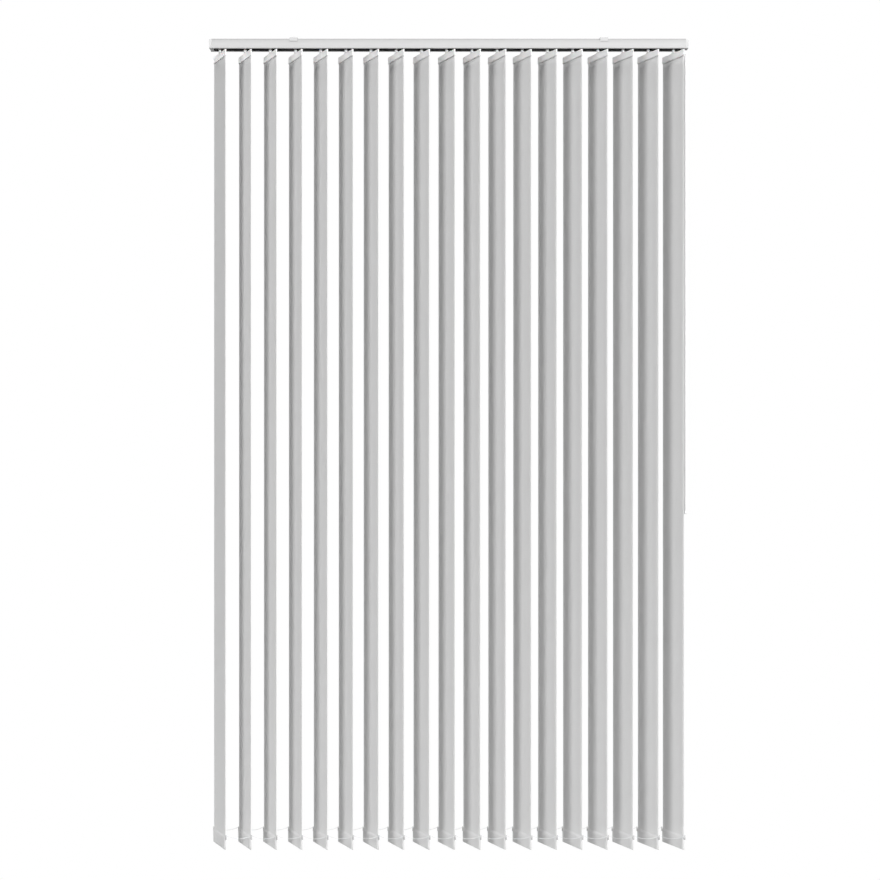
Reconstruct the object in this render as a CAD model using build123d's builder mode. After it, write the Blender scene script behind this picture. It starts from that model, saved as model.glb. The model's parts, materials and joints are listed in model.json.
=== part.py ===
"""Vertical blind: 89 mm slats on a wand-drawn head rail, screwed to a ceiling.

The origin lies on the ceiling plane, midway between the two clip screws.
+X runs along the rail to the right as seen from the room, -Y points into the room, +Z is up.
"""
import os
from math import cos, radians, sin

from build123d import *

os.makedirs("parts", exist_ok=True)

# ---------------------------------------------------------------- driving dimensions, mm
slat_count = 19
slat_width = 89.0
slat_pitch = 79.2
drop = 2536.0            # ceiling to the bottom of the slats
rest_angle = 55.2        # degrees between a slat and the rail, right edge towards the room
left_margin = 30.4       # rail's left end to the first slat's axis
right_margin = 44.0      # last slat's axis to the rail's right end

# head rail
rail_gap = 5.0           # ceiling to the rail's top
rail_height = 29.0
rail_depth = 34.0        # across the crown of the front and back faces
face_crown = 0.8         # how far those faces bow out
rail_wall = 1.3
rail_corner = 1.2
slot_width = 18.0
lip_height = 1.6         # the bead along both top edges that the clips hold
lip_reach = 0.6

# end caps
cap_length = 8.0
cap_plate = 2.0
plug_length = 10.0
plug_wall = 1.2
plug_clearance = 0.1
tongue_length = 4.0      # the left cap's tongue in the slot
cap_round = 0.9          # rounding of the caps' outer edges
cap_seam = 0.25          # chamfer beside the rail

# ceiling clips
clip_spacing = 972.0
clip_width = 25.0
clip_sheet = 1.2
clip_drop = 12.4         # ceiling to the end of a leg
screw_hole_d = 4.5
barb_height = 1.1

# tilt rod
rod_d = 4.0
rod_offset = 8.5         # behind the slat axes
rod_depth = 15.0         # rail's top to the rod's axis
flute_d = 1.0
running = 0.1            # radial clearance of the rod in its bearings
free_gap = 0.3           # clearance between parts that pass each other

# carriers
carrier_length = 15.4
carrier_depth = 28.4
carrier_top_gap = 1.3
carrier_floor = 23.5     # rail's top to the underside of the carriage
runner_width = 4.0
worm_d = 7.0
worm_length = 11.0
pinion_d = 9.4
pinion_height = 9.2
stem_d = 8.0
window_width = 7.0
window_offset = -6.5
window_roof = 1.4
spacer_width = 5.0
spacer_sheet = 0.4
spacer_head = 6.4
head_length = 0.5
level_step = 0.8
levels = 6
rib_length = 3.0
catch_length = 2.0

# hangers and slats
stem_end = 41.6          # ceiling to the underside of the stem
hump_width = 14.0
hanger_top = 44.6
hanger_height = 20.9
hanger_overhang = 1.5
hanger_sheet = 3.2
hanger_corner = 2.0
blade_width = 6.4
blade_sheet = 1.6
blade_length = 5.9
cloth = 0.6
cloth_grip = 17.0
pocket_height = 38.0
pocket_slope = 3.5
weight_sheet = 1.8
weight_inset = 2.0
weight_height = 35.0

# chain lugs and chains
peg_reach = 4.4          # slat's edge to the peg's axis
chain_rise = 44.4        # slat's bottom to the middle of a chain's eye
lug_low = 36.0           # slat's bottom to the underside of the lug's arm
lug_arm = 3.0
post_d = 3.0
peg_d = 1.8
button_d = 2.8
button_height = 1.0
eye_bore = 2.4
eye_d = 3.8
eye_height = 2.2
chain_d = 1.4
chain_sag = 8.5

# wand and its drive
wand_d = 10.0
wand_bottom = 1493.0     # ceiling to the wand's tip
wand_inset = 6.2         # rail's right end to the wand's axis
swivel_drop = 5.3        # rail's underside to the middle of the swivel
drive_gear_d = 9.8
drive_gear_length = 6.0
drive_pinion_d = 6.0
drive_pinion_height = 7.0
drive_shaft_d = 4.0
drive_neck_d = 2.4
drive_neck_length = 5.0
swivel_ball_d = 4.8
swivel_d = 9.8
swivel_swing = 35.0      # degrees that the wand swings aside
sleeve_length = 10.7     # middle of the swivel to the sleeve's lower end
spigot_d = 4.8
spigot_length = 6.0
housing_start = 16.5     # rail's right end to the near side of the drive housing
housing_roof = 9.4       # rail's top to the top of the housing
arm_height = 6.0
arm_width = 8.0
tip_length = 9.0
tip_spigot_d = 6.0
tip_spigot_length = 5.0

# ---------------------------------------------------------------- places worked out from them
rail_top = -rail_gap
rail_bottom = rail_top - rail_height
blind_length = (slat_count - 1) * slat_pitch + left_margin + right_margin
left_end, right_end = -blind_length / 2, blind_length / 2
rail_left, rail_right = left_end + cap_length, right_end - cap_length
edge_depth = rail_depth - 2 * face_crown
inner_half = edge_depth / 2 - rail_wall
inner_floor = rail_bottom + rail_wall
rod_y, rod_z = rod_offset, rail_top - rod_depth
rod_r = rod_d / 2
slat_x = [left_end + left_margin + i * slat_pitch for i in range(slat_count)]
window_top = rail_top - rail_wall - carrier_top_gap - window_roof
pinion_z = rod_z - pinion_height / 2 + free_gap
slat_bottom = -drop
hook_z = slat_bottom + chain_rise
peg_x = slat_width / 2 + peg_reach
wand_x = right_end - wand_inset
swivel_z = rail_bottom - swivel_drop
sleeve_end = swivel_z - sleeve_length


def level_z(carrier):
    """Height of the middle of the spacer that a carrier holds."""
    return window_top - 0.4 - level_step * (carrier % levels)


def outline(inset, corner):
    """The rail's outline, set in by a wall: y runs across the sketch and z up it."""
    half, crown = edge_depth / 2 - inset, rail_depth / 2 - inset
    top, bottom, mid = rail_top - inset, rail_bottom + inset, (rail_top + rail_bottom) / 2
    with BuildSketch() as section:
        with BuildLine():
            Line((-half, top), (half, top))
            ThreePointArc((half, top), (crown, mid), (half, bottom))
            Line((half, bottom), (-half, bottom))
            ThreePointArc((-half, bottom), (-crown, mid), (-half, top))
        make_face()
        fillet(section.vertices(), corner)
    return section.sketch


def across(x):
    """The plane across the rail at x, with its own x along +Y and its own y along +Z."""
    return Plane(origin=(x, 0, 0), x_dir=(0, 1, 0), z_dir=(1, 0, 0))


def save(name, *solids):
    """Write one node: one solid, or several that stay separate."""
    if len(solids) == 1:
        node = solids[0]
        node.label = name
    else:
        node = Compound(label=name, children=list(solids))
    export_step(node, f"parts/{name}.step")


# ---------------------------------------------------------------- head rail: one aluminium extrusion
with BuildPart() as head_rail:
    with BuildSketch(across(rail_left)):
        add(outline(0, rail_corner))
        add(outline(rail_wall, rail_corner / 3), mode=Mode.SUBTRACT)
        with Locations((0, rail_bottom + rail_wall / 2)):
            Rectangle(slot_width, 2 * rail_wall, mode=Mode.SUBTRACT)
        lip_x = edge_depth / 2 + lip_reach - rail_wall / 2 - lip_reach / 2
        with Locations((lip_x, rail_top - lip_height / 2), (-lip_x, rail_top - lip_height / 2)):
            Rectangle(rail_wall + lip_reach, lip_height)
    extrude(amount=rail_right - rail_left)
save("head_rail", head_rail.part)


# ---------------------------------------------------------------- end caps: hollow moulded covers
def end_cap(end, inward, tongue):
    """A cup with the rail's outline, a three-sided plug inside the rail and the rod's bearing."""
    plug_half = inner_half - plug_clearance
    plug_top = rail_top - rail_wall - plug_clearance
    with BuildPart() as cap:
        with BuildSketch(across(end)):
            add(outline(0, rail_corner))
        extrude(amount=inward * cap_length)
        fillet(cap.faces().sort_by(Axis.X)[::inward][0].edges(), cap_round)
        chamfer(cap.faces().sort_by(Axis.X)[::inward][-1].edges(), cap_seam)
        with BuildSketch(across(end + inward * cap_plate)):
            add(outline(rail_wall + plug_clearance + plug_wall, rail_corner / 3))
        extrude(amount=inward * (cap_length - cap_plate), mode=Mode.SUBTRACT)
        if not tongue:
            # the drive housing parks inside this cap, so the rail's slot runs on under it
            with BuildSketch(across(end + inward * cap_plate)):
                with Locations((0, rail_bottom + rail_wall)):
                    Rectangle(slot_width, 4 * rail_wall)
                with Locations((0, inner_floor + plug_wall)):
                    Rectangle(carrier_depth - plug_wall, 2 * plug_wall)
            extrude(amount=inward * (cap_length - cap_plate), mode=Mode.SUBTRACT)
        with BuildSketch(across(end + inward * cap_length)):
            with Locations((0, plug_top - plug_wall / 2)):
                Rectangle(2 * plug_half, plug_wall)
            side_height = plug_top - (inner_floor + plug_clearance)
            side_x = plug_half - plug_wall / 2
            with Locations((side_x, plug_top - side_height / 2), (-side_x, plug_top - side_height / 2)):
                Rectangle(plug_wall, side_height)
        extrude(amount=inward * plug_length)
        if tongue:
            with BuildSketch(across(end + inward * cap_plate)):
                with Locations((0, rail_bottom + (rail_wall + plug_wall) / 2)):
                    Rectangle(slot_width - 2 * plug_clearance, rail_wall + plug_wall)
            extrude(amount=inward * (cap_length - cap_plate + tongue_length))
            with BuildSketch(across(end + inward * cap_plate)):
                with Locations((rod_y, rod_z)):
                    Circle(rod_r + running + plug_wall)
            extrude(amount=inward * (cap_length - cap_plate))
        with BuildSketch(across(end + inward * cap_plate / 4)):
            with Locations((rod_y, rod_z)):
                Circle(rod_r + running)
        extrude(amount=inward * (cap_length + plug_length), mode=Mode.SUBTRACT)
    return cap.part


save("left_end_cap", end_cap(left_end, 1, tongue=True))
save("right_end_cap", end_cap(right_end, -1, tongue=False))


# ---------------------------------------------------------------- ceiling clips: bent spring steel
def ceiling_clip(x):
    """A plate screwed to the ceiling, with two legs whose barbs hold the rail's top beads."""
    leg_in = edge_depth / 2 + lip_reach + plug_clearance
    leg_mid = leg_in + clip_sheet / 2
    barb_in = edge_depth / 2 + face_crown * 0.5
    barb_top = rail_top - lip_height
    with BuildPart() as clip:
        with BuildSketch(across(x - clip_width / 2)):
            with Locations((0, -clip_sheet / 2)):
                Rectangle(2 * (leg_in + clip_sheet), clip_sheet)
            with Locations((leg_mid, -clip_drop / 2), (-leg_mid, -clip_drop / 2)):
                Rectangle(clip_sheet, clip_drop)
            barb_mid = (barb_in + leg_in) / 2
            with Locations((barb_mid, barb_top - barb_height / 2), (-barb_mid, barb_top - barb_height / 2)):
                Rectangle(leg_in - barb_in, barb_height)
        extrude(amount=clip_width)
        fillet(clip.edges().filter_by(Axis.X).group_by(Axis.Z)[-1], clip_sheet * 0.8)
        with Locations((x, 0, 0)):
            Hole(screw_hole_d / 2, depth=2 * clip_sheet)
    return clip.part


save("clip_left", ceiling_clip(-clip_spacing / 2))
save("clip_right", ceiling_clip(clip_spacing / 2))

# ---------------------------------------------------------------- tilt rod: fluted aluminium
with BuildPart() as tilt_rod:
    with BuildSketch(across(left_end + cap_plate / 2)):
        with Locations((rod_y, rod_z)):
            Circle(rod_r)
            with PolarLocations(rod_r, 3):
                Circle(flute_d / 2, mode=Mode.SUBTRACT)
    extrude(amount=blind_length - cap_plate)
save("tilt_rod", tilt_rod.part)


# ---------------------------------------------------------------- carriers
def carriage(i):
    """The moulded body of one carrier, with the catch for the spacer that comes through it."""
    x = slat_x[i]
    top = rail_top - rail_wall - carrier_top_gap
    floor = rail_top - carrier_floor
    runner_foot = inner_floor + free_gap
    window_height = levels * level_step
    with BuildPart() as body:
        with BuildSketch(across(x - carrier_length / 2)):
            with Locations((0, (top + floor) / 2)):
                Rectangle(carrier_depth, top - floor)
            runner_y = (carrier_depth - runner_width) / 2
            runner_z = (top + runner_foot) / 2
            with Locations((runner_y, runner_z), (-runner_y, runner_z)):
                Rectangle(runner_width, top - runner_foot)
            with Locations((window_offset, window_top - window_height / 2)):
                Rectangle(window_width, window_height, mode=Mode.SUBTRACT)
            with Locations((rod_y, rod_z)):
                Circle(rod_r + 2 * free_gap + 0.4, mode=Mode.SUBTRACT)
        extrude(amount=carrier_length)
        with BuildSketch(across(x - worm_length / 2 - free_gap)):
            with Locations((rod_y, rod_z)):
                Circle(worm_d / 2 + free_gap)
        extrude(amount=worm_length + 2 * free_gap, mode=Mode.SUBTRACT)
        with BuildSketch(Plane.XY.offset(pinion_z - free_gap)):
            with Locations((x, 0)):
                Circle(pinion_d / 2 + free_gap)
        extrude(amount=top - pinion_z + free_gap, mode=Mode.SUBTRACT)
        with BuildSketch(Plane.XY.offset(floor)):
            with Locations((x, 0)):
                Circle(stem_d / 2 + free_gap)
        extrude(amount=pinion_z - floor, mode=Mode.SUBTRACT)
        side = (window_width - spacer_width) / 2
        if i < slat_count - 1:
            # two ribs grip the carrier's own spacer
            rib_y = (spacer_width + side) / 2
            with Locations((x - carrier_length / 2 + rib_length / 2, window_offset + rib_y, level_z(i)),
                           (x - carrier_length / 2 + rib_length / 2, window_offset - rib_y, level_z(i))):
                Box(rib_length, side, spacer_sheet)
        if i > 0:
            # two ribs catch the head of the spacer before it
            catch = side - free_gap
            catch_y = (window_width - catch) / 2
            with Locations((x + (carrier_length - catch_length) / 2, window_offset + catch_y, level_z(i - 1)),
                           (x + (carrier_length - catch_length) / 2, window_offset - catch_y, level_z(i - 1))):
                Box(catch_length, catch, spacer_sheet)
    return body.part


def worm(i):
    """The sleeve that turns with the rod and drives a slat's pinion."""
    with BuildPart() as sleeve:
        with BuildSketch(across(slat_x[i] - worm_length / 2)):
            with Locations((rod_y, rod_z)):
                Circle(worm_d / 2)
                Circle(rod_r + free_gap, mode=Mode.SUBTRACT)
        extrude(amount=worm_length)
    return sleeve.part


def spacer(i):
    """The flat link that sets the distance to the next carrier and slides through it."""
    start = slat_x[i] - carrier_length / 2
    head_start = slat_x[i + 1] + carrier_length / 2 + 0.05
    with BuildPart() as link:
        with BuildSketch(Plane.XY.offset(level_z(i) - spacer_sheet / 2)):
            with Locations(((start + head_start) / 2, window_offset)):
                Rectangle(head_start - start, spacer_width)
            with Locations((head_start + head_length / 2, window_offset)):
                Rectangle(head_length, spacer_head)
        extrude(amount=spacer_sheet)
    return link.part


for i in range(slat_count):
    pieces = [carriage(i), worm(i)]
    if i < slat_count - 1:
        pieces.append(spacer(i))
    save(f"carrier_{i + 1:02d}", *pieces)

# ---------------------------------------------------------------- one slat, standing on the Z axis
half_width = slat_width / 2
hanger_bottom = -hanger_top - hanger_height
pocket_top = slat_bottom + pocket_height
pocket_sheet = weight_sheet + 2 * cloth
cloth_top = hanger_bottom + cloth_grip

with BuildPart() as stem:
    with BuildSketch(Plane.XY.offset(pinion_z)):
        Circle(pinion_d / 2)
    extrude(amount=pinion_height - free_gap)
    with BuildSketch(Plane.XY.offset(-stem_end)):
        Circle(stem_d / 2)
    extrude(amount=pinion_z + stem_end)
    with BuildSketch(Plane.XY.offset(-stem_end)):
        Rectangle(blade_width, blade_sheet)
    extrude(amount=-blade_length)

with BuildPart() as hanger:
    with BuildSketch(Plane.XZ) as hanger_face:
        with Locations((0, -hanger_top - hanger_height / 2)):
            Rectangle(slat_width + 2 * hanger_overhang, hanger_height)
        fillet(hanger_face.vertices().group_by(Axis.Z)[-1], hanger_corner)
        with Locations((0, (-stem_end - hanger_top - hanger_corner) / 2)):
            Rectangle(hump_width, hanger_top - stem_end + hanger_corner)
    extrude(amount=hanger_sheet / 2, both=True)
    with BuildSketch(Plane.XY.offset(hanger_bottom)):
        Rectangle(slat_width, cloth)
    extrude(amount=cloth_grip, mode=Mode.SUBTRACT)
    with BuildSketch(Plane.XY.offset(-stem_end)):
        Rectangle(blade_width, blade_sheet)
    extrude(amount=-blade_length, mode=Mode.SUBTRACT)

with BuildPart() as slat_cloth:
    with BuildSketch(across(-half_width)):
        with BuildLine():
            Polyline(
                (-cloth / 2, cloth_top), (-cloth / 2, pocket_top + pocket_slope),
                (-pocket_sheet / 2, pocket_top), (-pocket_sheet / 2, slat_bottom),
                (pocket_sheet / 2, slat_bottom), (pocket_sheet / 2, pocket_top),
                (cloth / 2, pocket_top + pocket_slope), (cloth / 2, cloth_top), close=True,
            )
        make_face()
        with Locations((0, slat_bottom + cloth + (pocket_height - cloth) / 2)):
            Rectangle(weight_sheet, pocket_height - cloth, mode=Mode.SUBTRACT)
    extrude(amount=slat_width)

with BuildPart() as bottom_weight:
    with BuildSketch(Plane.XZ):
        with Locations((0, slat_bottom + cloth + weight_height / 2)):
            Rectangle(slat_width - 2 * weight_inset, weight_height)
        with Locations((0, slat_bottom + lug_low - lug_arm / 2)):
            Rectangle(2 * peg_x, lug_arm)
    extrude(amount=weight_sheet / 2, both=True)
    arm_top = slat_bottom + lug_low
    eye_low = hook_z - eye_height / 2
    with BuildSketch(Plane.XY.offset(arm_top - lug_arm)):
        with Locations((peg_x, 0), (-peg_x, 0)):
            Circle(post_d / 2)
    extrude(amount=eye_low - free_gap - arm_top + lug_arm)
    with BuildSketch(Plane.XY.offset(eye_low - free_gap)):
        with Locations((peg_x, 0), (-peg_x, 0)):
            Circle(peg_d / 2)
    extrude(amount=eye_height + 3 * free_gap)
    with BuildSketch(Plane.XY.offset(eye_low + eye_height + 2 * free_gap)):
        with Locations((peg_x, 0), (-peg_x, 0)):
            Circle(button_d / 2)
    extrude(amount=button_height)

for i in range(slat_count):
    place = Location((slat_x[i], 0, 0), (0, 0, -rest_angle))
    pieces = [piece.part.moved(place) for piece in (slat_cloth, hanger, stem, bottom_weight)]
    save(f"slat_{i + 1:02d}", *pieces)


# ---------------------------------------------------------------- stabilising chains
def chain(side):
    """The eyes and sagging spans that join one edge of every slat, as separate links."""
    y = -side * peg_x * sin(radians(rest_angle))
    links = []
    for i in range(slat_count):
        x = slat_x[i] + side * peg_x * cos(radians(rest_angle))
        with BuildPart() as link:
            if i < slat_count - 1:
                start, end = x + eye_d / 2 - 0.2, x + slat_pitch - eye_d / 2 - 0.1
                with BuildLine() as route:
                    ThreePointArc((start, y, hook_z), ((start + end) / 2, y, hook_z - chain_sag),
                                  (end, y, hook_z))
                with BuildSketch(Plane(origin=route.wire() @ 0, z_dir=route.wire() % 0)):
                    RegularPolygon(chain_d / 2, side_count=8)
                sweep()
            with BuildSketch(Plane.XY.offset(hook_z - eye_height / 2)):
                with Locations((x, y)):
                    Circle(eye_d / 2)
            extrude(amount=eye_height)
            with BuildSketch(Plane.XY.offset(hook_z - eye_height / 2)):
                with Locations((x, y)):
                    Circle(eye_bore / 2)
            extrude(amount=eye_height, mode=Mode.SUBTRACT)
        links.append(link.part)
    return links


save("front_chain", *chain(1))
save("back_chain", *chain(-1))

# ---------------------------------------------------------------- wand drive on the lead carrier
gear_clear = drive_gear_d / 2 + free_gap
pinion_clear = drive_pinion_d / 2 + free_gap
housing_end = right_end - cap_plate - free_gap
housing_left = right_end - housing_start
housing_top = rail_top - housing_roof
housing_foot = rail_bottom + free_gap
drive_pinion_z = rod_z - drive_pinion_height / 2
lead_face = slat_x[-1] + carrier_length / 2

with BuildPart() as wand_housing:
    body_half = carrier_depth / 2
    with BuildSketch(across(housing_left)):
        with Locations((0, (housing_top + inner_floor + free_gap) / 2)):
            Rectangle(2 * body_half - 2 * plug_wall, housing_top - inner_floor - free_gap)
        with Locations((0, (inner_floor + free_gap + housing_foot) / 2)):
            Rectangle(slot_width - 4 * free_gap, inner_floor + free_gap - housing_foot)
    extrude(amount=housing_end - housing_left)
    arm_z = rail_top - carrier_floor + arm_height / 2
    with BuildSketch(across(lead_face)):
        with Locations((0, arm_z)):
            Rectangle(arm_width, arm_height)
    extrude(amount=housing_left - lead_face)
    with BuildSketch(across(housing_left)):
        with Locations((rod_y, rod_z)):
            Circle(rod_r + 2 * free_gap)
    extrude(amount=housing_end - housing_left, mode=Mode.SUBTRACT)
    with BuildSketch(across(wand_x - drive_gear_length / 2 - free_gap)):
        with Locations((rod_y, rod_z)):
            Circle(gear_clear)
    extrude(amount=housing_end - wand_x + drive_gear_length / 2, mode=Mode.SUBTRACT)
    with BuildSketch(Plane.XY.offset(drive_pinion_z - free_gap)):
        with Locations((wand_x, 0)):
            Circle(pinion_clear)
    extrude(amount=housing_top - drive_pinion_z + free_gap, mode=Mode.SUBTRACT)
    with BuildSketch(Plane.XY.offset(housing_foot)):
        with Locations((wand_x, 0)):
            Circle(drive_shaft_d / 2 + running)
    extrude(amount=drive_pinion_z - housing_foot, mode=Mode.SUBTRACT)
save("wand_housing", wand_housing.part)

with BuildPart() as drive_gear:
    with BuildSketch(across(wand_x - drive_gear_length / 2)):
        with Locations((rod_y, rod_z)):
            Circle(drive_gear_d / 2)
            Circle(rod_r + free_gap, mode=Mode.SUBTRACT)
    extrude(amount=drive_gear_length)
save("drive_gear", drive_gear.part)

with BuildPart() as wand_drive:
    neck_top = swivel_z + drive_neck_length
    with BuildSketch(Plane.XY.offset(drive_pinion_z)):
        with Locations((wand_x, 0)):
            Circle(drive_pinion_d / 2)
    extrude(amount=drive_pinion_height)
    with BuildSketch(Plane.XY.offset(neck_top)):
        with Locations((wand_x, 0)):
            Circle(drive_shaft_d / 2)
    extrude(amount=drive_pinion_z - neck_top)
    with BuildSketch(Plane.XY.offset(swivel_z)):
        with Locations((wand_x, 0)):
            Circle(drive_neck_d / 2)
    extrude(amount=drive_neck_length)
    with Locations((wand_x, 0, swivel_z)):
        Sphere(swivel_ball_d / 2)
save("wand_drive", wand_drive.part)

with BuildPart() as wand_coupling:
    with Locations((wand_x, 0, swivel_z)):
        Sphere(swivel_d / 2)
    with BuildSketch(Plane.XY.offset(sleeve_end)):
        with Locations((wand_x, 0)):
            Circle(swivel_d / 2 - 0.1)
    extrude(amount=sleeve_length)
    with Locations((wand_x, 0, swivel_z)):
        Sphere(swivel_ball_d / 2 + free_gap, mode=Mode.SUBTRACT)
    # the neck's way through the ball socket, from upright to swung aside
    reach, side = swivel_d, drive_neck_d / 2 + free_gap
    lean = radians(swivel_swing)
    with BuildSketch(Plane(origin=(wand_x, 0, swivel_z), x_dir=(1, 0, 0), z_dir=(0, -1, 0))):
        with BuildLine():
            Polyline(
                (-side, 0), (-side, reach), (reach, 2 * reach),
                (reach * sin(lean) + side * cos(lean), reach * cos(lean) - side * sin(lean)),
                (side * cos(lean), -side * sin(lean)), close=True,
            )
        make_face()
    extrude(amount=side, both=True, mode=Mode.SUBTRACT)
    with BuildSketch(Plane.XY.offset(sleeve_end)):
        with Locations((wand_x, 0)):
            Circle(spigot_d / 2 + free_gap)
    extrude(amount=spigot_length + free_gap, mode=Mode.SUBTRACT)
save("wand_coupling", wand_coupling.part)

wand_top = sleeve_end - free_gap
wand_end = -wand_bottom + tip_length
with BuildPart() as wand:
    with BuildSketch(Plane.XY.offset(wand_end)):
        with Locations((wand_x, 0)):
            Circle(wand_d / 2)
    extrude(amount=wand_top - wand_end)
    with BuildSketch(Plane.XY.offset(wand_top)):
        with Locations((wand_x, 0)):
            Circle(spigot_d / 2)
    extrude(amount=spigot_length)
    with BuildSketch(Plane.XY.offset(wand_end - tip_spigot_length)):
        with Locations((wand_x, 0)):
            Circle(tip_spigot_d / 2)
    extrude(amount=tip_spigot_length)
save("wand", wand.part)

with BuildPart() as wand_tip:
    with BuildSketch(Plane.XY.offset(-wand_bottom)):
        with Locations((wand_x, 0)):
            Circle(wand_d / 2)
    extrude(amount=tip_length)
    fillet(wand_tip.edges().group_by(Axis.Z)[0], wand_d / 5)
    with BuildSketch(Plane.XY.offset(wand_end - tip_spigot_length)):
        with Locations((wand_x, 0)):
            Circle(tip_spigot_d / 2)
    extrude(amount=tip_spigot_length, mode=Mode.SUBTRACT)
save("wand_tip", wand_tip.part)
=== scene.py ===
import json
from math import cos, pi, radians, sin

import bmesh
import bpy
from mathutils import Matrix, Vector

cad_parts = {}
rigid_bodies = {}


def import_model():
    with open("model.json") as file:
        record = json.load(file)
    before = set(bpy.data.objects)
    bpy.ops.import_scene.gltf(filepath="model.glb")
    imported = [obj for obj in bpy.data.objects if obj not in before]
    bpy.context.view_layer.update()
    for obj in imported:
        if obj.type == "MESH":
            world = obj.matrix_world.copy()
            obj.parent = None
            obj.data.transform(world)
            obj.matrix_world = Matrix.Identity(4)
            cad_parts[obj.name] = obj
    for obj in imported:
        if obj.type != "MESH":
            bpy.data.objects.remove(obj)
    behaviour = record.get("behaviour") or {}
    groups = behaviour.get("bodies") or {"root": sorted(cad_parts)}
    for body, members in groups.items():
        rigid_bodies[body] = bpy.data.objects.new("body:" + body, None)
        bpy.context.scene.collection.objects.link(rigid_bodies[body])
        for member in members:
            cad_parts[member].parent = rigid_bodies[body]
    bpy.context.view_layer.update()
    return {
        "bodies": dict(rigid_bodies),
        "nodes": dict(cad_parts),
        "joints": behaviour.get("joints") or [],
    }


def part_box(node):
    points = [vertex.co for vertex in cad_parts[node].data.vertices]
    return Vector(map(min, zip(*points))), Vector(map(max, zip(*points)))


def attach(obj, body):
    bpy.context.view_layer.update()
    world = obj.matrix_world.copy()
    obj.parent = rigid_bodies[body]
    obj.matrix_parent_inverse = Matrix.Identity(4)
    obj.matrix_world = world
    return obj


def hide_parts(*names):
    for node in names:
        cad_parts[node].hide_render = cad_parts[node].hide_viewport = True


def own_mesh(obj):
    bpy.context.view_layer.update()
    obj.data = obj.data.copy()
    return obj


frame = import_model()
joints = {joint["name"]: joint for joint in frame["joints"]}

# ---------------------------------------------------------------- head rail
# One aluminium extrusion, open along its underside, with a satin white powder coat. The coat has
# a faint orange peel and picks up a little less gloss where the powder lay thicker.


class Value:
    """A shader socket that can stand in an expression; each operator adds a Math node."""

    def __init__(self, finish, socket):
        self.finish, self.socket = finish, socket

    def maths(self, operation, *values):
        return self.finish.node("ShaderNodeMath", {"operation": operation}, dict(enumerate(values)))

    def __add__(self, other):
        return self.maths("ADD", self, other)

    def __sub__(self, other):
        return self.maths("SUBTRACT", self, other)

    def __rsub__(self, other):
        return self.maths("SUBTRACT", other, self)

    def __mul__(self, other):
        return self.maths("MULTIPLY", self, other)

    __radd__, __rmul__ = __add__, __mul__

    def absolute(self):
        return self.maths("ABSOLUTE", self)

    def sine(self):
        return self.maths("SINE", self)

    def between(self, low, high):
        """0 below low, 1 above high and smooth in between."""
        return self.finish.node("ShaderNodeMapRange", {"interpolation_type": "SMOOTHSTEP"},
                                {"Value": self, "From Min": low, "From Max": high})


class Finish:
    """A material built on one Principled shader."""

    def __init__(self, name, colour, roughness, **sockets):
        self.material = bpy.data.materials.new(name)
        self.material.use_nodes = True
        self.tree = self.material.node_tree
        self.surface = self.tree.nodes["Principled BSDF"]
        self.surface.inputs["Base Color"].default_value = (*colour, 1)
        self.surface.inputs["Roughness"].default_value = roughness
        for socket, value in sockets.items():
            self.surface.inputs[socket.replace("_", " ")].default_value = value

    def node(self, kind, settings, inputs, output=0):
        """Add a node: its settings first, then its sockets' values or links."""
        made = self.tree.nodes.new(kind)
        for name, value in settings.items():
            setattr(made, name, value)
        for name, value in inputs.items():
            self.feed(made.inputs[name], value)
        return Value(self, made.outputs[output])

    def feed(self, socket, value):
        if isinstance(value, Value):
            self.tree.links.new(value.socket, socket)
        else:
            socket.default_value = value

    def place(self):
        return self.node("ShaderNodeTexCoord", {}, {}, "Object")

    def split(self, vector, axis):
        return self.node("ShaderNodeSeparateXYZ", {}, {"Vector": vector}, axis)

    def noise(self, scale, detail=2.0, where=None):
        return self.node("ShaderNodeTexNoise", {},
                         {"Vector": where or self.place(), "Scale": scale, "Detail": detail})

    def colour(self, mask, low, high):
        """Base colour from low to high as mask goes from 0 to 1."""
        mix = self.node("ShaderNodeMix", {"data_type": "RGBA"},
                        {"Factor": mask, 6: (*low, 1), 7: (*high, 1)}, 2)
        self.feed(self.surface.inputs["Base Color"], mix)

    def over(self, mask, colour):
        """Cover the base colour so far with another, where mask is 1."""
        under = Value(self, self.surface.inputs["Base Color"].links[0].from_socket)
        mix = self.node("ShaderNodeMix", {"data_type": "RGBA"},
                        {"Factor": mask, 6: under, 7: (*colour, 1)}, 2)
        self.feed(self.surface.inputs["Base Color"], mix)

    def rough(self, value):
        self.feed(self.surface.inputs["Roughness"], value)

    def bump(self, height, distance, strength=1.0):
        normal = self.node("ShaderNodeBump", {},
                           {"Height": height, "Distance": distance, "Strength": strength})
        self.feed(self.surface.inputs["Normal"], normal)


def tint(level, warmth=0.0):
    """A near-neutral colour of a given lightness."""
    return (level * (1 + warmth), level, level * (1 - warmth))


def wear(node, finish):
    """Give a CAD node that keeps its own shape its finish."""
    mesh = frame["nodes"][node].data
    mesh.materials.clear()
    mesh.materials.append(finish.material)


rail_low, rail_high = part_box("head_rail")
powder_coat = Finish("powder_coat", tint(0.52), 0.4, Coat_Weight=0.15, Coat_Roughness=0.25)
peel = powder_coat.noise(900)
cloudy = powder_coat.noise(14)
powder_coat.rough(0.34 + 0.12 * cloudy)
height = powder_coat.split(powder_coat.place(), 2)
rail_depth_half = (rail_high.y - rail_low.y) / 2
painted_shade_inset = 0.0011          # how far in from the outer faces the painted shade inside the channel begins
painted_shade_blend = 0.0001           # width over which that painted shade fades in
depth = powder_coat.split(powder_coat.place(), 1).absolute()
# Painted shade: the channel's inner faces are painted near-black, standing in for the shade inside the
# rail.
painted_shade_inside = (
    (rail_depth_half - painted_shade_inset - depth).between(0, painted_shade_blend)
    * (height - rail_low.z - painted_shade_inset * 0.3).between(0, painted_shade_blend)
    * (rail_high.z - painted_shade_inset - height).between(0, painted_shade_blend)
)
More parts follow.
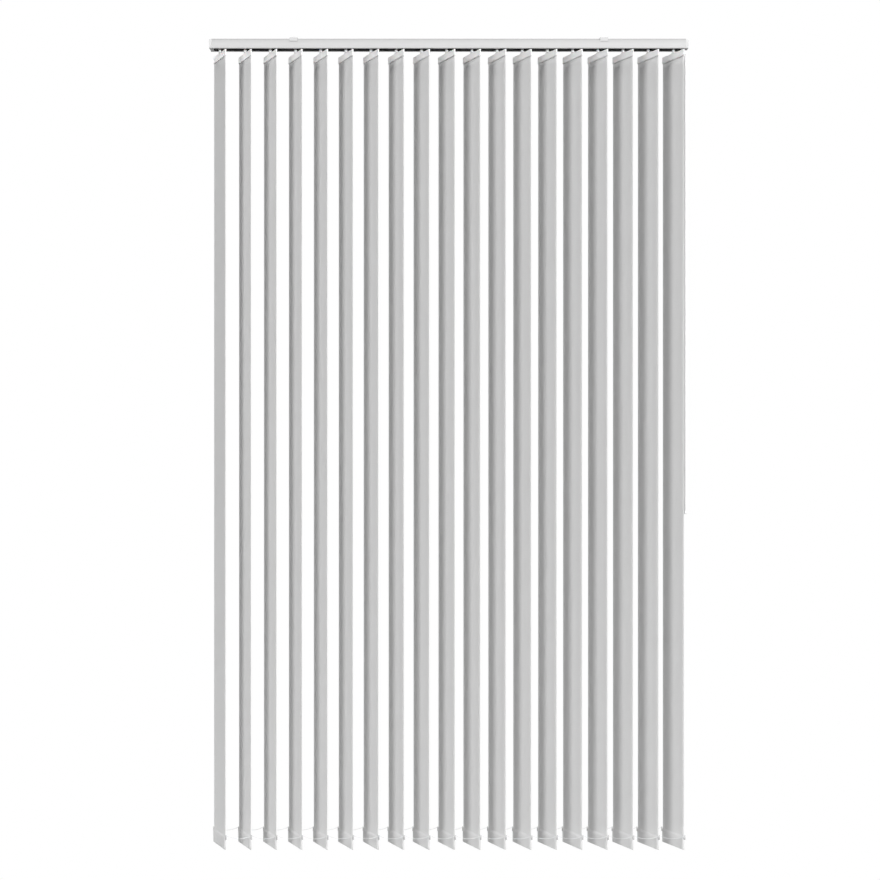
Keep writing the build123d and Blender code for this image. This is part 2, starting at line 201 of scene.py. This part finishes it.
# Painted light and shade: the rail's colour is lighter near its foot and darker towards its top,
# standing in for light thrown up from below; the cloudy noise adds random tone.
painted_shade_height = (height - rail_low.z) * (1 / (rail_high.z - rail_low.z))
painted_light = 1 - painted_shade_height.between(0.3, 1.0)
powder_coat.colour(painted_light + 0.1 * cloudy, tint(0.43), tint(0.51))
# Lay the near-black painted shade over the channel's inner faces.
powder_coat.over(painted_shade_inside, tint(0.03))
powder_coat.bump(peel, 0.00006)
wear("head_rail", powder_coat)

# ---------------------------------------------------------------- end caps
# Two injection-moulded covers in the same white, pushed into the rail's ends. Their fine spark
# texture is duller than the powder coat.
cap_plastic = Finish("cap_plastic", tint(0.55), 0.5, Specular_IOR_Level=0.45)
cap_plastic.bump(cap_plastic.noise(2600), 0.00004)
cap_plastic.rough(0.46 + 0.1 * cap_plastic.noise(60))
wear("left_end_cap", cap_plastic)
wear("right_end_cap", cap_plastic)

# ---------------------------------------------------------------- ceiling clips
# Bent spring steel with a thin white coat. The sheared edges and the barbs show a little grey
# where the coat has rubbed through.
coated_steel = Finish("coated_steel", tint(0.8), 0.42)
rubbed = coated_steel.noise(320, 4).between(0.62, 0.8)
coated_steel.colour(rubbed, tint(0.52), tint(0.36))
coated_steel.rough(0.4 + 0.2 * rubbed)
coated_steel.bump(coated_steel.noise(1200), 0.00004)
wear("clip_left", coated_steel)
wear("clip_right", coated_steel)

# ---------------------------------------------------------------- tilt rod
# A drawn aluminium rod with three flutes, bare, with fine draw lines along it.
drawn_aluminium = Finish("drawn_aluminium", tint(0.72), 0.35, Metallic=1.0)
along = drawn_aluminium.node("ShaderNodeMapping", {},
                             {"Vector": drawn_aluminium.place(), "Scale": (4, 1500, 1500)})
lines = drawn_aluminium.noise(1.0, 3, along)
drawn_aluminium.rough(0.25 + 0.25 * lines)
drawn_aluminium.bump(lines, 0.00003)
wear("tilt_rod", drawn_aluminium)

# ---------------------------------------------------------------- carriers
# Black acetal carriages with their worms and spacers inside the rail. They read as the dark band
# along the rail's slot.
black_acetal = Finish("black_acetal", tint(0.018), 0.42)
black_acetal.rough(0.36 + 0.14 * black_acetal.noise(90))
black_acetal.bump(black_acetal.noise(1800), 0.00004)
slat_names = sorted(name for name in frame["bodies"] if name.startswith("slat_"))
for number in range(len(slat_names)):
    wear(f"carrier_{number + 1:02d}", black_acetal)

# ---------------------------------------------------------------- drive gears and housing
# Natural acetal gears turn inside a white housing on the lead carrier, below which the wand hangs.
acetal = Finish("natural_acetal", tint(0.78, 0.01), 0.38, Subsurface_Weight=0.1)
acetal.rough(0.34 + 0.1 * acetal.noise(120))
acetal.bump(acetal.noise(1500), 0.00003)
wear("drive_gear", acetal)
wear("wand_drive", acetal)
wear("wand_housing", cap_plastic)

# ---------------------------------------------------------------- stems
# Each slat hangs from a moulded stem that turns in its carrier. Its collar sits just under the
# rail and its flat blade snaps into the hanger.
rest_angle = radians(55.2)   # between a slat and the rail
stem_plastic = Finish("stem_plastic", tint(0.85), 0.42, Subsurface_Weight=0.05)
stem_plastic.rough(0.38 + 0.1 * stem_plastic.noise(80))
stem_plastic.bump(stem_plastic.noise(2200), 0.00003)
hanger_plastic = Finish("hanger_plastic", tint(0.76), 0.42, Subsurface_Weight=0.05)
hanger_plastic.rough(0.38 + 0.1 * hanger_plastic.noise(80))
hanger_plastic.bump(hanger_plastic.noise(2200), 0.00003)


def slat_axis(number):
    """The point at ceiling height on the axis that a slat turns about."""
    joint = joints["tilt" if number == 0 else f"tilt_{number + 1:02d}"]
    return Vector(joint["pos_m"])


def finished(name, bm, *finishes, smooth=True):
    """Turn a bmesh into an object at the origin, wearing its finishes."""
    bmesh.ops.recalc_face_normals(bm, faces=bm.faces[:])
    mesh = bpy.data.meshes.new(name)
    bm.to_mesh(mesh)
    bm.free()
    for polygon in mesh.polygons:
        polygon.use_smooth = smooth
    piece = bpy.data.objects.new(name, mesh)
    bpy.context.scene.collection.objects.link(piece)
    for finish in finishes:
        mesh.materials.append(finish.material)
    return piece


def spun(bm, profile, centre=(0, 0, 0), steps=32):
    """Turn a profile of (radius, height) points about an upright line through centre."""
    verts = [bm.verts.new((centre[0] + r, centre[1], z)) for r, z in profile]
    edges = [bm.edges.new(pair) for pair in zip(verts, verts[1:])]
    bmesh.ops.spin(bm, geom=verts + edges, cent=centre, axis=(0, 0, 1), angle=2 * pi, steps=steps,
                   use_merge=True)
    bmesh.ops.remove_doubles(bm, verts=bm.verts[:], dist=1e-7)


def slab(bm, outline, thickness):
    """A flat plate from an outline of (x, z) points, centred on the y plane."""
    face = bm.faces.new([bm.verts.new((x, -thickness / 2, z)) for x, z in outline])
    made = bmesh.ops.extrude_face_region(bm, geom=[face])
    moved = [part for part in made["geom"] if isinstance(part, bmesh.types.BMVert)]
    bmesh.ops.translate(bm, verts=moved, vec=(0, thickness, 0))
    return moved


def rounded(bm, edges, radius, segments=3):
    bmesh.ops.bevel(bm, geom=edges, offset=radius, offset_type="OFFSET", affect="EDGES",
                    segments=segments, profile=0.5, material=-1, clamp_overlap=True)


def hang(template, number, part):
    """Copy a template made on the Z axis to one slat: turned to the rest angle, at the slat's axis."""
    mesh = template.data.copy()
    mesh.transform(Matrix.Translation(slat_axis(number)) @ Matrix.Rotation(-rest_angle, 4, "Z"))
    piece = bpy.data.objects.new(f"{part}_{number + 1:02d}", mesh)
    bpy.context.scene.collection.objects.link(piece)
    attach(piece, slat_names[number])
    return piece


pinion_top, shoulder = -0.0151, -0.0244
hump_top = -0.0416
stem_radius, pinion_radius, collar_radius = 0.004, 0.0047, 0.0046
collar_top, collar_foot = rail_low.z - 0.0006, rail_low.z - 0.0025
stem_shape = bmesh.new()
spun(stem_shape, [
    (0.0, pinion_top), (pinion_radius - 0.0003, pinion_top), (pinion_radius, pinion_top - 0.0004),
    (pinion_radius, shoulder), (stem_radius, shoulder), (stem_radius, collar_top),
    (collar_radius, collar_top - 0.0003), (collar_radius, collar_foot + 0.0004),
    (stem_radius, collar_foot), (stem_radius, hump_top + 0.0003),
    (stem_radius - 0.0003, hump_top), (0.0, hump_top),
])
blade_top, blade_foot, blade_half = hump_top + 0.0004, hump_top - 0.0059, 0.0032
blade_corner, blade_thickness = 0.001, 0.0016
slab(stem_shape, [
    (-blade_half, blade_top), (-blade_half, blade_foot + blade_corner),
    (-blade_half + blade_corner, blade_foot), (blade_half - blade_corner, blade_foot),
    (blade_half, blade_foot + blade_corner), (blade_half, blade_top),
], blade_thickness)
stem_template = finished("stem_template", stem_shape, stem_plastic)

# ---------------------------------------------------------------- hangers
# A white moulded clip holds the top of each slat between two thin jaws. It has a raised hump
# where the stem snaps in, a sunk panel and the raised ends of two teeth on each side.
slat_width = 0.089
hanger_half = slat_width / 2 + 0.0015
hanger_top, hanger_foot = -0.0446, -0.0655
hanger_thickness = 0.0032
hump_half = 0.007
hanger_shape = bmesh.new()
corner = 0.0014
slab(hanger_shape, [
    (-hanger_half, hanger_foot + 0.0006), (-hanger_half + 0.0006, hanger_foot),
    (hanger_half - 0.0006, hanger_foot), (hanger_half, hanger_foot + 0.0006),
    (hanger_half, hanger_top - corner), (hanger_half - 0.4 * corner, hanger_top - 0.4 * corner),
    (hanger_half - corner, hanger_top), (hump_half + 0.004, hanger_top),
    (hump_half + 0.0012, hanger_top + 0.0006), (hump_half - 0.0006, hump_top - 0.0003),
    (hump_half - 0.0018, hump_top), (-hump_half + 0.0018, hump_top),
    (-hump_half + 0.0006, hump_top - 0.0003), (-hump_half - 0.0012, hanger_top + 0.0006),
    (-hump_half - 0.004, hanger_top), (-hanger_half + corner, hanger_top),
    (-hanger_half + 0.4 * corner, hanger_top - 0.4 * corner), (-hanger_half, hanger_top - corner),
], hanger_thickness)
broad = [face for face in hanger_shape.faces if abs(face.normal.y) > 0.9]
bmesh.ops.inset_region(hanger_shape, faces=broad, thickness=0.0013, depth=0.0, use_even_offset=True)
bmesh.ops.inset_region(hanger_shape, faces=broad, thickness=0.0005, depth=-0.0004, use_even_offset=True)
rim = [edge for edge in hanger_shape.edges
       if len(edge.link_faces) == 2 and edge.calc_face_angle(0) > radians(60)
       and abs(abs(edge.verts[0].co.y) - hanger_thickness / 2) < 1e-5
       and abs(abs(edge.verts[1].co.y) - hanger_thickness / 2) < 1e-5]
rounded(hanger_shape, rim, 0.0004, 2)
tooth_x, tooth_width, tooth_height, tooth_thickness = 0.028, 0.008, 0.0028, 0.0006
tooth_y, tooth_z = hanger_thickness / 2 - tooth_thickness / 2, (hanger_top + hanger_foot) / 2
tooth_size = Matrix.Diagonal((tooth_width, tooth_thickness, tooth_height, 1))
for x in (-tooth_x, tooth_x):
    for side in (-1, 1):
        tooth_place = Matrix.Translation((x, side * tooth_y, tooth_z))
        tooth = bmesh.ops.create_cube(hanger_shape, size=1.0, matrix=tooth_place @ tooth_size)
        edges = list({edge for vert in tooth["verts"] for edge in vert.link_edges})
        rounded(hanger_shape, edges, 0.00015, 2)
hanger_template = finished("hanger_template", hanger_shape, hanger_plastic, smooth=False)

# ---------------------------------------------------------------- slats
# Stiffened plain-weave polyester, cut to 89 mm. The foot is folded up behind the weight into a
# pocket, which bulges mostly towards the room.
slat_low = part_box("slat_01")[0].z
cloth_thickness = 0.0006
pocket_height, pocket_slope = 0.036, 0.010       # full height of the bulge, and the slope above it
pocket_front, pocket_back = 0.0032, 0.0012       # how far it reaches from the slat's middle
pocket_round = 0.0032                            # rounding where the cloth turns under the weight
cloth_top = hanger_foot + 0.017
thread = 0.0011
woven = Finish("woven_polyester", tint(0.6), 0.85, Sheen_Weight=0.12, Sheen_Roughness=0.5,
               Specular_IOR_Level=0.25)
weave_place = woven.node("ShaderNodeUVMap", {"uv_map": "cloth"}, {})
across, up = woven.split(weave_place, 0), woven.split(weave_place, 1)
warp = (across * (2 * pi / thread)).sine()
weft = (up * (2 * pi / thread)).sine()
weave = warp * weft
along_weft = woven.node("ShaderNodeMapping", {}, {"Vector": weave_place, "Scale": (30, 900, 1)})
slubs = woven.noise(1.0, 3, along_weft)
along_warp = woven.node("ShaderNodeMapping", {}, {"Vector": weave_place, "Scale": (900, 12, 1)})
streaks = woven.noise(1.0, 2, along_warp)
shade = 0.35 + 0.12 * weave + 0.3 * slubs + 0.3 * streaks
woven.colour(shade, tint(0.54), tint(0.62))
woven.rough(0.8 + 0.1 * slubs)
woven.bump(weave + 0.8 * slubs, 0.00012, 0.7)

cloth_rows, cloth_columns, slope_rows = 64, 10, 4
pocket_row = 0.009
cloth_shape = bmesh.new()
half = slat_width / 2
foot_top = slat_low + pocket_height
flat_length = cloth_top - foot_top - pocket_slope
levels = [cloth_top - flat_length * n / cloth_rows for n in range(cloth_rows + 1)]
levels += [foot_top + pocket_slope * (1 - n / slope_rows) for n in range(1, slope_rows + 1)]
levels += [foot_top - n * pocket_row for n in range(1, 4)]
levels += [slat_low + pocket_round * rise for rise in (1.0, 0.6, 0.3, 0.1)]


def pocket_bulge(z, reach):
    """How far one side of the slat lies from its middle: single cloth above, full over the weight."""
    rise = min(1.0, max(0.0, (foot_top + pocket_slope - z) / pocket_slope))
    fall = min(1.0, (z - slat_low) / pocket_round)
    fullness = rise * rise * (3 - 2 * rise) * (1 - (1 - fall) ** 2) ** 0.5
    return cloth_thickness / 2 + (reach - cloth_thickness / 2) * fullness


side_verts = [
    [cloth_shape.verts.new((-half, facing * pocket_bulge(z, reach), z)) for z in levels]
    for facing, reach in ((-1, pocket_front), (1, pocket_back))
]
foot = cloth_shape.verts.new((-half, 0, slat_low + 0.00002))
spine = side_verts[0] + [foot] + side_verts[1][::-1]
spine_edges = [cloth_shape.edges.new(pair) for pair in zip(spine, spine[1:])]
spine_edges.append(cloth_shape.edges.new((spine[-1], spine[0])))
front = list(spine_edges)
for column in range(cloth_columns):
    made = bmesh.ops.extrude_edge_only(cloth_shape, edges=front)
    fresh = [part for part in made["geom"] if isinstance(part, bmesh.types.BMVert)]
    bmesh.ops.translate(cloth_shape, verts=fresh, vec=(slat_width / cloth_columns, 0, 0))
    front = [part for part in made["geom"] if isinstance(part, bmesh.types.BMEdge)
             and all(vert in fresh for vert in part.verts)]
open_edges = [edge for edge in cloth_shape.edges if edge.is_boundary]
bmesh.ops.holes_fill(cloth_shape, edges=open_edges, sides=0)
cloth_uv = cloth_shape.loops.layers.uv.new("cloth")
back_shift = 0.2             # so that the back's threads don't mirror the front's
for face in cloth_shape.faces:
    for loop in face.loops:
        place = loop.vert.co
        loop[cloth_uv].uv = (place.x + half + (back_shift if place.y > 0 else 0), place.z)
cloth_template = finished("cloth_template", cloth_shape, woven)

# ---------------------------------------------------------------- bottom weights
# A coated plate slides into each pocket. Its two ears reach past the cloth's edges and carry the
# upright pegs that the chains clip on to.
weight_half, weight_foot = slat_width / 2 - 0.002, slat_low + 0.0006
ear_foot, ear_top = slat_low + 0.033, slat_low + 0.036
peg_x = slat_width / 2 + 0.0044
hook_z = slat_low + 0.0444
weight_plastic = Finish("weight_plastic", tint(0.45), 0.45)
weight_plastic.rough(0.4 + 0.14 * weight_plastic.noise(100))
weight_plastic.bump(weight_plastic.noise(1600), 0.00004)
weight_shape = bmesh.new()
slab(weight_shape, [
    (-weight_half + 0.001, weight_foot), (weight_half - 0.001, weight_foot),
    (weight_half, weight_foot + 0.001),
    (weight_half, ear_foot), (peg_x, ear_foot), (peg_x, ear_top), (weight_half, ear_top),
    (-weight_half, ear_top), (-peg_x, ear_top), (-peg_x, ear_foot), (-weight_half, ear_foot),
    (-weight_half, weight_foot + 0.001),
], 0.0018)
weight_edges = [edge for edge in weight_shape.edges if edge.calc_face_angle(0) > radians(60)]
rounded(weight_shape, weight_edges, 0.0003, 2)
for side in (-1, 1):
    spun(weight_shape, [
        (0.0, ear_foot), (0.0013, ear_foot), (0.0015, ear_foot + 0.0003), (0.0015, hook_z - 0.0016),
        (0.0013, hook_z - 0.0014), (0.0009, hook_z - 0.0014), (0.0009, hook_z + 0.0017),
        (0.0012, hook_z + 0.0017), (0.0014, hook_z + 0.0020), (0.0012, hook_z + 0.0025),
        (0.0006, hook_z + 0.0027), (0.0, hook_z + 0.0027),
    ], (side * peg_x, 0, 0), 16)
weight_template = finished("weight_template", weight_shape, weight_plastic)

# ---------------------------------------------------------------- chain clips
# Small moulded eyes at the ends of each run of beads. They snap over the pegs and turn on them.
chain_plastic = Finish("chain_plastic", tint(0.66), 0.35, Subsurface_Weight=0.1)
chain_plastic.rough(0.3 + 0.1 * chain_plastic.noise(200))
eye_shape = bmesh.new()
for side in (-1, 1):
    spun(eye_shape, [
        (0.0012, hook_z - 0.0008), (0.0014, hook_z - 0.0011), (0.0017, hook_z - 0.0011),
        (0.0019, hook_z - 0.0008), (0.0019, hook_z + 0.0008), (0.0017, hook_z + 0.0011),
        (0.0014, hook_z + 0.0011), (0.0012, hook_z + 0.0008), (0.0012, hook_z - 0.0008),
    ], (side * peg_x, 0, 0), 20)
eye_template = finished("eye_template", eye_shape, chain_plastic)

# ---------------------------------------------------------------- hanging the slats
# Every carrier gets one slat: stem, hanger, cloth, weight and the two chain clips at its foot.
for number in range(len(slat_names)):
    stem = hang(stem_template, number, "stem")
    hanger = hang(hanger_template, number, "hanger")
    cloth = hang(cloth_template, number, "cloth")
    weight = hang(weight_template, number, "weight")
    eyes = hang(eye_template, number, "chain_eyes")
    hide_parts(slat_names[number])
for template in (stem_template, hanger_template, cloth_template, weight_template, eye_template):
    bpy.data.objects.remove(template)

# ---------------------------------------------------------------- stabilising chains
# Runs of small moulded beads on a thin core, one run from slat to slat along each edge, with a
# little slack so that every run sags.
slat_pitch = slat_axis(1).x - slat_axis(0).x
stacked_pitch = slat_pitch + (joints["traverse"]["range_m"][0] - joints["traverse"]["range_m"][1]) / (
    len(slat_names) - 1)
bead_radius, core_radius, bead_pitch = 0.00092, 0.00035, 0.0031
sag = 0.0085
curve_share = 1.03           # a sagging run's length over its span
eye_reach = 0.0019


def chain(name, body, side):
    """All runs of one chain, riding on that chain's body."""
    offset = Vector((side * peg_x * cos(rest_angle), -side * peg_x * sin(rest_angle), hook_z))
    anchor = slat_axis(0) + offset
    run = slat_pitch - 2 * eye_reach
    beads = round(run / bead_pitch * curve_share)
    shape = bmesh.new()
    points = [anchor + Vector((eye_reach + run * n / beads, 0, -4 * sag * n / beads * (1 - n / beads)))
              for n in range(beads + 1)]
    for point in points[1:-1]:
        bmesh.ops.create_uvsphere(shape, u_segments=8, v_segments=5, radius=bead_radius,
                                  matrix=Matrix.Translation(point))
    for first, second in zip(points, points[1:]):
        gap = second - first
        turn = gap.to_track_quat("Z", "Y").to_matrix().to_4x4()
        bmesh.ops.create_cone(shape, segments=5, radius1=core_radius, radius2=core_radius,
                              depth=gap.length, matrix=Matrix.Translation((first + second) / 2) @ turn)
    one_run = shape.verts[:] + shape.edges[:] + shape.faces[:]
    for number in range(1, len(slat_names) - 1):
        again = bmesh.ops.duplicate(shape, geom=one_run)["geom"]
        moved = [part for part in again if isinstance(part, bmesh.types.BMVert)]
        bmesh.ops.translate(shape, verts=moved, vec=(number * slat_pitch, 0, 0))
    piece = finished(name, shape, chain_plastic)
    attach(piece, body)
    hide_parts(body)
    stacked_pitch / slat_pitch
    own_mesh(piece)


chain("front_chain_beads", "front_chain", 1)
chain("back_chain_beads", "back_chain", -1)

# ---------------------------------------------------------------- wand
# An extruded six-sided wand in white plastic with softened corners. Its spigot goes up into the
# swivel's sleeve under the housing, and a paler cap closes its foot.
wand_plastic = Finish("wand_plastic", tint(0.74), 0.3, Coat_Weight=0.2, Coat_Roughness=0.15)
wand_plastic.rough(0.26 + 0.12 * wand_plastic.noise(40))
wand_place = wand_plastic.node("ShaderNodeMapping", {},
                               {"Vector": wand_plastic.place(), "Scale": (900, 900, 6)})
wand_plastic.bump(wand_plastic.noise(1.0, 2, wand_place), 0.00004)
tip_plastic = Finish("tip_plastic", tint(0.82), 0.35)
tip_plastic.rough(0.3 + 0.1 * tip_plastic.noise(100))
wand_low, wand_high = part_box("wand")
wand_centre = (wand_low + wand_high) / 2
wand_radius = (wand_high.x - wand_low.x) / 2
sleeve_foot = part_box("wand_coupling")[0].z
tip_low, tip_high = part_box("wand_tip")
wand_shape = bmesh.new()
rod_top = sleeve_foot - 0.0003
rod_middle = Vector((wand_centre.x, wand_centre.y, (rod_top + tip_high.z) / 2))
bmesh.ops.create_cone(wand_shape, cap_ends=True, segments=6, radius1=wand_radius, radius2=wand_radius,
                      depth=rod_top - tip_high.z, matrix=Matrix.Translation(rod_middle))
arrises = [edge for edge in wand_shape.edges if abs(edge.verts[0].co.z - edge.verts[1].co.z) > 0.1]
rounded(wand_shape, arrises, 0.0011, 4)
ends = [edge for edge in wand_shape.edges if edge.calc_face_angle(0) > radians(80)]
rounded(wand_shape, ends, 0.0003, 2)
spigot_radius, spigot_top, spigot_foot = 0.0024, rod_top + 0.006, rod_top - 0.0002
spun(wand_shape, [
    (0.0, spigot_top), (spigot_radius - 0.0002, spigot_top), (spigot_radius, spigot_top - 0.0004),
    (spigot_radius, spigot_foot), (0.0, spigot_foot),
], (wand_centre.x, wand_centre.y, 0), 24)
wand = finished("wand_rod", wand_shape, wand_plastic, smooth=False)
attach(wand, "wand")
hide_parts("wand")
tip_shape = bmesh.new()
spun(tip_shape, [
    (0.0, tip_low.z), (0.0026, tip_low.z), (0.0040, tip_low.z + 0.0005), (0.0048, tip_low.z + 0.0016),
    (0.0050, tip_low.z + 0.0030), (0.0050, tip_high.z - 0.0004), (0.0047, tip_high.z),
    (0.0031, tip_high.z), (0.0031, tip_high.z - 0.005), (0.0, tip_high.z - 0.005),
], (wand_centre.x, wand_centre.y, 0), 32)
tip = finished("wand_cap", tip_shape, tip_plastic)
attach(tip, "wand")
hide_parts("wand_tip")
wear("wand_coupling", wand_plastic)

# ---------------------------------------------------------------- studio
# A grey floor that only throws light back up, a soft key from the front left, a broad fill from
# the front right, two soft lights behind, one overhead, and white all round where nothing stands.
floor_gap, floor_radius = 0.08, 3.2
floor_shape = bmesh.new()
bmesh.ops.create_circle(floor_shape, cap_ends=True, segments=96, radius=floor_radius,
                        matrix=Matrix.Translation((0, 0, slat_low - floor_gap)))
pale_floor = Finish("pale_floor", tint(0.45), 0.8, Emission_Color=(1, 1, 1, 1), Emission_Strength=0.05)
floor = finished("floor", floor_shape, pale_floor)
floor.visible_camera = False

blind_centre = Vector((slat_axis(len(slat_names) // 2).x, 0, slat_low / 2))


def soft_light(name, azimuth, elevation, distance, width, height, power):
    """A rectangular light that faces the middle of the blind. Azimuth 0 is in front, 90 to the left."""
    lamp = bpy.data.lights.new(name, "AREA")
    lamp.shape, lamp.size, lamp.size_y, lamp.energy = "RECTANGLE", width, height, power
    holder = bpy.data.objects.new(name, lamp)
    a, e = radians(azimuth), radians(elevation)
    away = Vector((-sin(a) * cos(e), -cos(a) * cos(e), sin(e)))
    holder.location = blind_centre + away * distance
    holder.rotation_mode = "QUATERNION"
    holder.rotation_quaternion = away.to_track_quat("Z", "Y")
    holder.visible_camera = False
    bpy.context.scene.collection.objects.link(holder)


soft_light("key", 45, 20, 16.0, 6.0, 8.0, 1480)
soft_light("fill", 315, 15, 16.0, 8.0, 8.0, 3170)
soft_light("back_left", 135, 15, 16.0, 8.0, 8.0, 1050)
soft_light("back_right", 225, 15, 16.0, 8.0, 8.0, 1530)
soft_light("overhead", 0, 80, 12.0, 10.0, 10.0, 1280)

surround = bpy.data.worlds.new("surround")
surround.use_nodes = True
bpy.context.scene.world = surround
background = surround.node_tree.nodes["Background"]
seen = surround.node_tree.nodes.new("ShaderNodeLightPath")
plain = surround.node_tree.nodes.new("ShaderNodeBackground")
mixed = surround.node_tree.nodes.new("ShaderNodeMixShader")
background.inputs["Color"].default_value = (1, 1, 1, 1)
background.inputs["Strength"].default_value = 0.0
plain.inputs["Color"].default_value = (1, 1, 1, 1)
plain.inputs["Strength"].default_value = 1.0
surround.node_tree.links.new(seen.outputs["Is Camera Ray"], mixed.inputs[0])
surround.node_tree.links.new(background.outputs[0], mixed.inputs[1])
surround.node_tree.links.new(plain.outputs[0], mixed.inputs[2])
surround.node_tree.links.new(mixed.outputs[0], surround.node_tree.nodes["World Output"].inputs[0])

camera_data = bpy.data.cameras.new("camera")
camera_data.lens, camera_data.sensor_width = 44.45, 36
camera_data.shift_x, camera_data.shift_y = -0.0075, 0.0227
camera = bpy.data.objects.new("camera", camera_data)
camera.location = (-0.0067, -3.416, -1.323)
camera.rotation_euler = (radians(90), 0, 0)
bpy.context.scene.collection.objects.link(camera)
bpy.context.scene.camera = camera
bpy.context.scene.view_settings.view_transform = "Standard"
